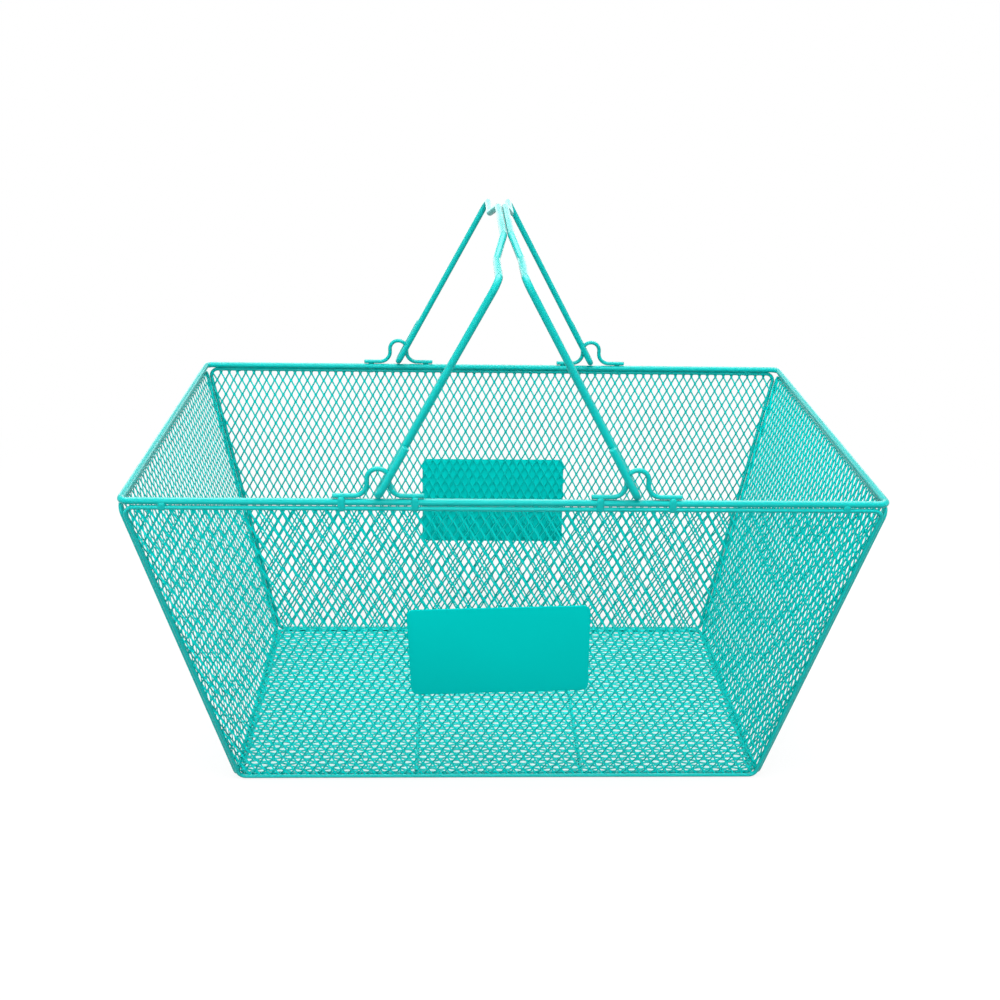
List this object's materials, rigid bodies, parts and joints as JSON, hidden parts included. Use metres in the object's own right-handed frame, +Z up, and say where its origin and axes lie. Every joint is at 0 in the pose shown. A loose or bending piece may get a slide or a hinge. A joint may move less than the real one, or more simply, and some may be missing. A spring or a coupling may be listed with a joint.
{
  "type": "wire shopping basket",
  "caption": "Open-topped carry basket with flared expanded-metal walls in wire frames, flat sign plates and folding wire bail handles.",
  "frame": {"origin": "on the ground under the middle of the base", "axes": "+X along the length, +Y along the depth from the front to the back, +Z up"},
  "size_m": [0.43, 0.2718, 0.3385],
  "materials": {
    "wire_paint": "satin teal powder coat",
    "mesh_paint": "satin teal powder coat",
    "plate_paint": "satin teal powder coat",
    "handle_paint": "satin teal powder coat"
  },
  "bodies": {
    "basket": {"rim_wire": "wire_paint", "front_panel_frame": "wire_paint", "back_panel_frame": "wire_paint", "left_panel_frame": "wire_paint", "right_panel_frame": "wire_paint", "base_frame": "wire_paint", "front_mesh": "mesh_paint", "back_mesh": "mesh_paint", "left_mesh": "mesh_paint", "right_mesh": "mesh_paint", "base_mesh": "mesh_paint", "base_cross_wire_left": "wire_paint", "base_cross_wire_right": "wire_paint", "front_sign_plate": "plate_paint", "back_sign_plate": "plate_paint", "front_left_bracket": "wire_paint", "front_right_bracket": "wire_paint", "back_left_bracket": "wire_paint", "back_right_bracket": "wire_paint", "weld_front_1": "wire_paint", "weld_front_2": "wire_paint", "weld_front_3": "wire_paint", "weld_front_4": "wire_paint", "weld_front_5": "wire_paint", "weld_front_6": "wire_paint", "weld_back_1": "wire_paint", "weld_back_2": "wire_paint", "weld_back_3": "wire_paint", "weld_back_4": "wire_paint", "weld_back_5": "wire_paint", "weld_back_6": "wire_paint"},
    "left_handle": {"left_handle": "handle_paint"},
    "right_handle": {"right_handle": "handle_paint"}
  },
  "joints": [
    {"name": "left_handle_swing", "type": "hinge", "parent": "basket", "child": "left_handle", "pos_m": [-0.0715, 0, 0.2089], "axis": [0, 1, 0], "range_deg": [-118.5, 0]},
    {"name": "right_handle_swing", "type": "hinge", "parent": "basket", "child": "right_handle", "pos_m": [0.0715, 0, 0.2089], "axis": [0, 1, 0], "range_deg": [0, 118.5]}
  ]
}
